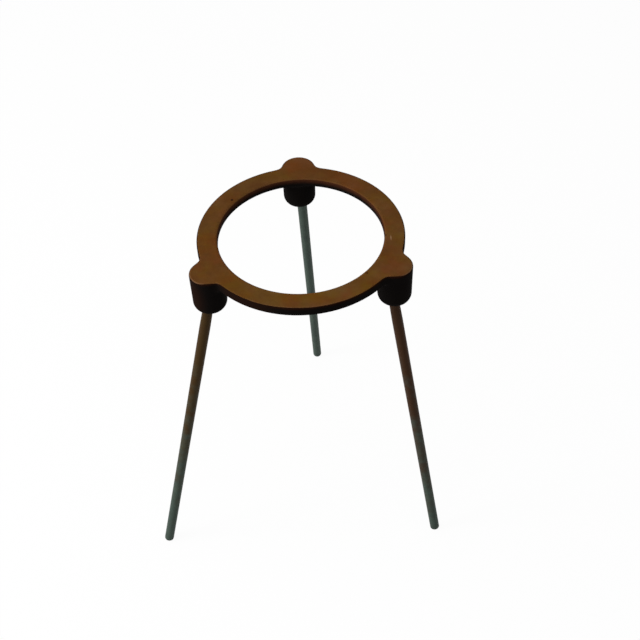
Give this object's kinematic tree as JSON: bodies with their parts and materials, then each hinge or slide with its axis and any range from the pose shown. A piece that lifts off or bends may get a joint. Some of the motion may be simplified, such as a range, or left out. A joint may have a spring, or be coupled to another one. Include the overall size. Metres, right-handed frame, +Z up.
{
  "type": "lab tripod stand",
  "caption": "Laboratory tripod stand: a flat cast ring with rounded lugs and bosses on plain round splayed legs, to hold a vessel or gauze over a burner.",
  "frame": {"origin": "on the floor, under the middle of the stand's bounding box; the ring's axis stands at x = 9.4 mm, y = -25.3 mm", "axes": "+Z up along the ring's axis; +Y towards the rear leg, +X towards the right leg's side"},
  "size_m": [0.1968, 0.1776, 0.236],
  "materials": {
    "casting": "cast iron in a thin satin bronze-brown lacquer, darker on the walls and bosses, worn lighter along the top edges",
    "leg_rod": "drawn steel rod with a dull dark grey-green oxide, browned towards the top of the front legs"
  },
  "bodies": {
    "root": {"top_casting": "casting", "leg_rear": "leg_rod", "leg_left": "leg_rod", "leg_right": "leg_rod"}
  },
  "joints": []
}
